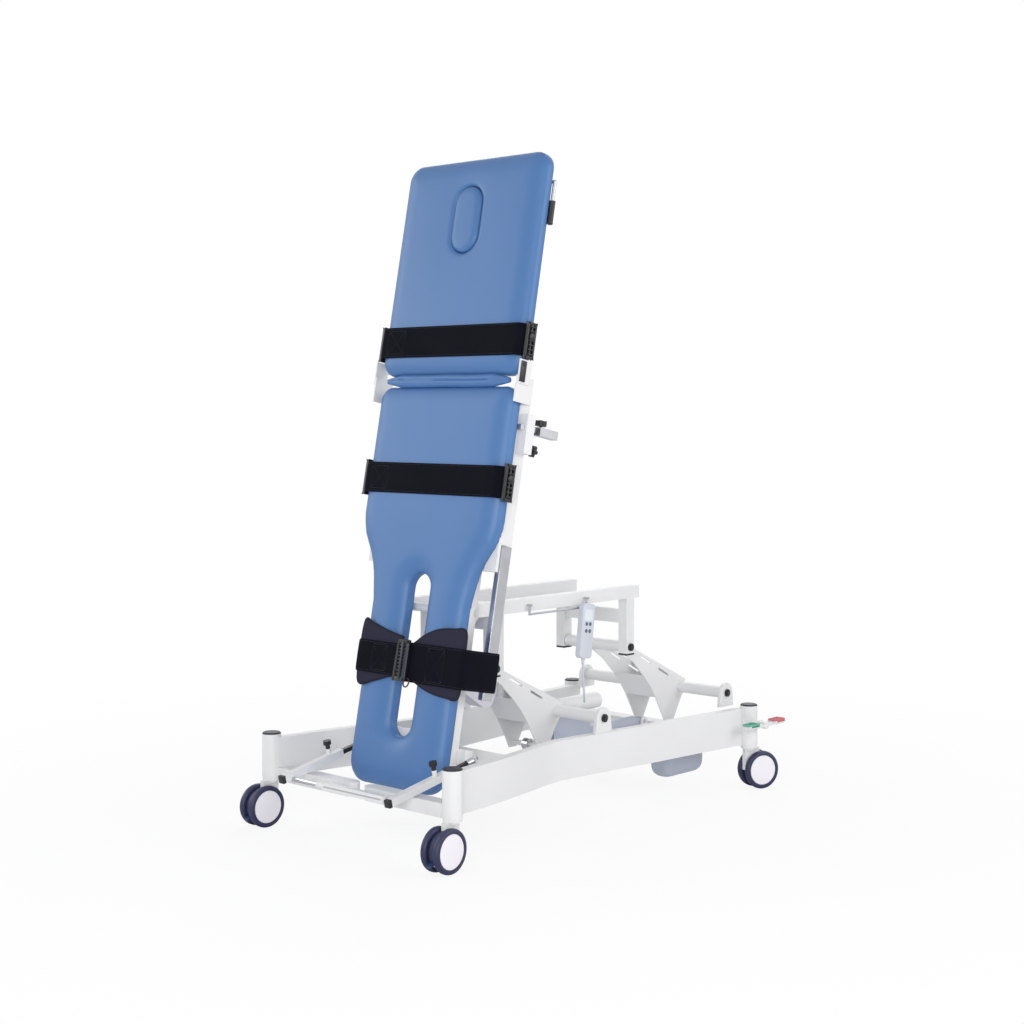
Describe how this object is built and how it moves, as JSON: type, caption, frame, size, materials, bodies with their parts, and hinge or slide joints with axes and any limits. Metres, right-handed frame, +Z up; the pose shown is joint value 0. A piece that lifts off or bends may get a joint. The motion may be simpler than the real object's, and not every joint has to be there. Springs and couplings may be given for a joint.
{
  "type": "physiotherapy tilt table",
  "caption": "Upright tilt table with padded leg section and backrest, straps, foot support, handset and a wheeled base that lifts on swinging arms.",
  "frame": {"origin": "on the floor, at the middle of the whole object's box seen from above", "axes": "+Z up, +X from the foot end to the rear posts, -Y the side with the handset and the brake pedal"},
  "size_m": [1.6258, 0.906, 2.042],
  "materials": {
    "black_plastic": "matte",
    "blue_vinyl": "satin",
    "chromed": "polished",
    "grey_cable": "matte",
    "grey_plastic": "matte",
    "navy_plastic": "satin",
    "navy_tyre": "matte",
    "navy_webbing": "woven",
    "pad_fabric": "matte",
    "slate_plastic": "matte",
    "steel": "brushed",
    "white_paint": "satin",
    "white_plastic": "satin"
  },
  "bodies": {
    "base": {"near_rail": "white_paint", "far_rail": "white_paint", "base_beams": "white_paint", "pivot_ears": "white_paint", "lower_bolts": "black_plastic", "post_caps": "slate_plastic", "floor_tray": "white_paint", "control_box": "grey_plastic"},
    "front_arm": {"front_lift_arm": "white_paint"},
    "rear_arm": {"rear_lift_arm": "white_paint"},
    "upper": {"upper_frame": "white_paint", "upper_bolts": "black_plastic", "handset_rod": "chromed", "handset_cord": "grey_cable"},
    "lift_cylinder": {"lift_housing": "grey_plastic", "lift_motor": "white_plastic"},
    "lift_piston": {"lift_rod": "steel"},
    "tilt_cylinder": {"tilt_housing": "white_plastic"},
    "tilt_piston": {"tilt_rod": "steel"},
    "table": {"leg_frame": "white_paint", "leg_cushion": "blue_vinyl", "steel_rails": "steel", "foot_bars": "white_paint", "clamp_block": "white_paint", "pelvis_strap": "navy_webbing", "pelvis_buckles": "black_plastic", "knee_pads": "pad_fabric", "knee_straps": "navy_webbing", "knee_buckle": "black_plastic", "fold_gusset": "blue_vinyl"},
    "clamp": {"clamp_arm": "steel"},
    "clamp_star": {"star_knob": "black_plastic"},
    "clamp_screw": {"lower_knob": "black_plastic"},
    "backrest": {"back_frame": "white_paint", "back_cushion": "blue_vinyl", "chest_strap": "navy_webbing", "chest_buckles": "black_plastic"},
    "plug": {"face_plug": "blue_vinyl"},
    "handle": {"release_handle": "white_paint"},
    "spring_cylinder": {"gas_spring_tube": "black_plastic"},
    "spring_piston": {"gas_spring_rod": "chromed"},
    "foot_support": {"foot_carriage": "white_paint"},
    "near_plunger": {"plunger_near": "black_plastic"},
    "far_plunger": {"plunger_far": "black_plastic"},
    "hand_control": {"handset": "grey_plastic"},
    "pedal": {"brake_pedal": "white_paint"},
    "key_1": {"handset_button_1": "black_plastic"},
    "key_2": {"handset_button_2": "black_plastic"},
    "key_3": {"handset_button_3": "black_plastic"},
    "key_4": {"handset_button_4": "black_plastic"},
    "caster_near_front": {"caster_fork_near_front": "white_plastic"},
    "wheels_near_front": {"caster_wheels_near_front": "navy_tyre"},
    "lock_near_front": {"caster_lock_near_front": "navy_plastic"},
    "caster_far_front": {"caster_fork_far_front": "white_plastic"},
    "wheels_far_front": {"caster_wheels_far_front": "navy_tyre"},
    "lock_far_front": {"caster_lock_far_front": "navy_plastic"},
    "caster_near_rear": {"caster_fork_near_rear": "white_plastic"},
    "wheels_near_rear": {"caster_wheels_near_rear": "navy_tyre"},
    "caster_far_rear": {"caster_fork_far_rear": "white_plastic"},
    "wheels_far_rear": {"caster_wheels_far_rear": "navy_tyre"}
  },
  "joints": [
    {"name": "swivel_near_front", "type": "hinge", "parent": "base", "child": "caster_near_front", "pos_m": [-0.71295, -0.3885, 0.1], "axis": [0, 0, 1], "continuous": true},
    {"name": "wheel_near_front", "type": "hinge", "parent": "caster_near_front", "child": "wheels_near_front", "pos_m": [-0.74891, -0.39038, 0.0625], "axis": [0.0523, -0.9986, 0], "continuous": true},
    {"name": "lock_near_front", "type": "hinge", "parent": "caster_near_front", "child": "lock_near_front", "pos_m": [-0.74891, -0.39038, 0.0625], "axis": [0.0523, -0.9986, 0], "range_deg": [-12, 0]},
    {"name": "swivel_far_front", "type": "hinge", "parent": "base", "child": "caster_far_front", "pos_m": [-0.71295, 0.3885, 0.1], "axis": [0, 0, 1], "continuous": true},
    {"name": "wheel_far_front", "type": "hinge", "parent": "caster_far_front", "child": "wheels_far_front", "pos_m": [-0.74892, 0.39007, 0.0625], "axis": [-0.0436, -0.999, 0], "continuous": true},
    {"name": "lock_far_front", "type": "hinge", "parent": "caster_far_front", "child": "lock_far_front", "pos_m": [-0.74892, 0.39007, 0.0625], "axis": [-0.0436, -0.999, 0], "range_deg": [-12, 0]},
    {"name": "swivel_near_rear", "type": "hinge", "parent": "base", "child": "caster_near_rear", "pos_m": [0.68505, -0.3885, 0.1], "axis": [0, 0, 1], "continuous": true},
    {"name": "wheel_near_rear", "type": "hinge", "parent": "caster_near_rear", "child": "wheels_near_rear", "pos_m": [0.71866, -0.4014, 0.0625], "axis": [0.3584, 0.9336, 0], "continuous": true},
    {"name": "swivel_far_rear", "type": "hinge", "parent": "base", "child": "caster_far_rear", "pos_m": [0.68505, 0.3885, 0.1], "axis": [0, 0, 1], "continuous": true},
    {"name": "wheel_far_rear", "type": "hinge", "parent": "caster_far_rear", "child": "wheels_far_rear", "pos_m": [0.71866, 0.4014, 0.0625], "axis": [-0.3584, 0.9336, 0], "continuous": true},
    {"name": "lift", "type": "hinge", "parent": "base", "child": "front_arm", "pos_m": [0.02505, 0, 0.311], "axis": [0, 1, 0], "range_deg": [0, 32]},
    {"name": "lift_rear", "type": "hinge", "parent": "base", "child": "rear_arm", "pos_m": [0.66605, 0, 0.311], "axis": [0, 1, 0], "range_deg": [0, 32.2]},
    {"name": "lift_frame", "type": "hinge", "parent": "front_arm", "child": "upper", "pos_m": [-0.29104, 0, 0.4812], "axis": [0, 1, 0], "range_deg": [-32.2, 0]},
    {"name": "lift_cylinder_tilt", "type": "hinge", "parent": "base", "child": "lift_cylinder", "pos_m": [0.52705, -0.051, 0.205], "axis": [0, 1, 0], "range_deg": [0, 4.83]},
    {"name": "lift_stroke", "type": "slide", "parent": "lift_cylinder", "child": "lift_piston", "axis": [-1, 0, 0], "range_m": [0, 0.0491]},
    {"name": "tilt", "type": "hinge", "parent": "upper", "child": "table", "pos_m": [-0.41295, 0, 0.662], "axis": [0, 1, 0], "range_deg": [0, 79]},
    {"name": "tilt_cylinder_swing", "type": "hinge", "parent": "upper", "child": "tilt_cylinder", "pos_m": [-0.18295, -0.051, 0.38], "axis": [0, 1, 0], "range_deg": [0, 3.07]},
    {"name": "tilt_stroke", "type": "slide", "parent": "tilt_cylinder", "child": "tilt_piston", "axis": [-0.8375, 0, 0.5464], "range_m": [0, 0.16499]},
    {"name": "backrest", "type": "hinge", "parent": "table", "child": "backrest", "pos_m": [-0.35049, 0, 1.35023], "axis": [0, 1, 0], "range_deg": [-70, 0]},
    {"name": "spring_swing", "type": "hinge", "parent": "table", "child": "spring_cylinder", "pos_m": [-0.28856, 0.07, 1.0504], "axis": [0, 1, 0], "range_deg": [-12.33, 0]},
    {"name": "spring_stroke", "type": "slide", "parent": "spring_cylinder", "child": "spring_piston", "axis": [0.158, 0, 0.9874], "range_m": [0, 0.10231]},
    {"name": "plug_out", "type": "slide", "parent": "backrest", "child": "plug", "axis": [-0.9816, 0, 0.1908], "range_m": [0, 0.08]},
    {"name": "release", "type": "hinge", "parent": "backrest", "child": "handle", "pos_m": [-0.18965, -0.3, 1.94496], "axis": [0, 1, 0], "range_deg": [-20, 0], "stiffness_Nm_per_rad": 2},
    {"name": "clamp_slide", "type": "slide", "parent": "table", "child": "clamp", "axis": [0.9816, 0, -0.1908], "range_m": [0, 0.06]},
    {"name": "star_turn", "type": "hinge", "parent": "clamp", "child": "clamp_star", "pos_m": [-0.24227, -0.287, 1.19421], "axis": [0.1908, 0, 0.9816], "continuous": true},
    {"name": "screw_turn", "type": "hinge", "parent": "table", "child": "clamp_screw", "pos_m": [-0.31084, -0.287, 1.1454], "axis": [0.9816, 0, -0.1908], "continuous": true},
    {"name": "foot_length", "type": "slide", "parent": "table", "child": "foot_support", "axis": [-0.9799, 0, -0.1994], "range_m": [0, 0.1]},
    {"name": "plunger_near_pull", "type": "slide", "parent": "foot_support", "child": "near_plunger", "axis": [-0.1994, 0, 0.9799], "range_m": [0, 0.008], "stiffness_N_per_m": 600},
    {"name": "plunger_far_pull", "type": "slide", "parent": "foot_support", "child": "far_plunger", "axis": [-0.1994, 0, 0.9799], "range_m": [0, 0.008], "stiffness_N_per_m": 600},
    {"name": "handset_lift_off", "type": "slide", "parent": "upper", "child": "hand_control", "axis": [0, 0, 1], "range_m": [0, 0.03]},
    {"name": "press_1", "type": "slide", "parent": "hand_control", "child": "key_1", "axis": [0, 1, 0], "range_m": [0, 0.0007], "stiffness_N_per_m": 800},
    {"name": "press_2", "type": "slide", "parent": "hand_control", "child": "key_2", "axis": [0, 1, 0], "range_m": [0, 0.0007], "stiffness_N_per_m": 800},
    {"name": "press_3", "type": "slide", "parent": "hand_control", "child": "key_3", "axis": [0, 1, 0], "range_m": [0, 0.0007], "stiffness_N_per_m": 800},
    {"name": "press_4", "type": "slide", "parent": "hand_control", "child": "key_4", "axis": [0, 1, 0], "range_m": [0, 0.0007], "stiffness_N_per_m": 800},
    {"name": "pedal_rock", "type": "hinge", "parent": "base", "child": "pedal", "pos_m": [0.71205, -0.431, 0.212], "axis": [0, 1, 0], "range_deg": [-10, 10]}
  ],
  "couplings": [
    {"joint": "lift_rear", "follows": "lift", "ratio": 1},
    {"joint": "lift_frame", "follows": "lift", "ratio": -1},
    {"joint": "lift_cylinder_tilt", "follows": "lift", "ratio": 0.14458},
    {"joint": "lift_stroke", "follows": "lift", "m_per_rad": 0.087014},
    {"joint": "tilt_cylinder_swing", "follows": "tilt", "ratio": 0.036343},
    {"joint": "tilt_stroke", "follows": "tilt", "m_per_rad": 0.1193},
    {"joint": "spring_swing", "follows": "backrest", "ratio": 0.17327},
    {"joint": "spring_stroke", "follows": "backrest", "m_per_rad": -0.083333}
  ]
}
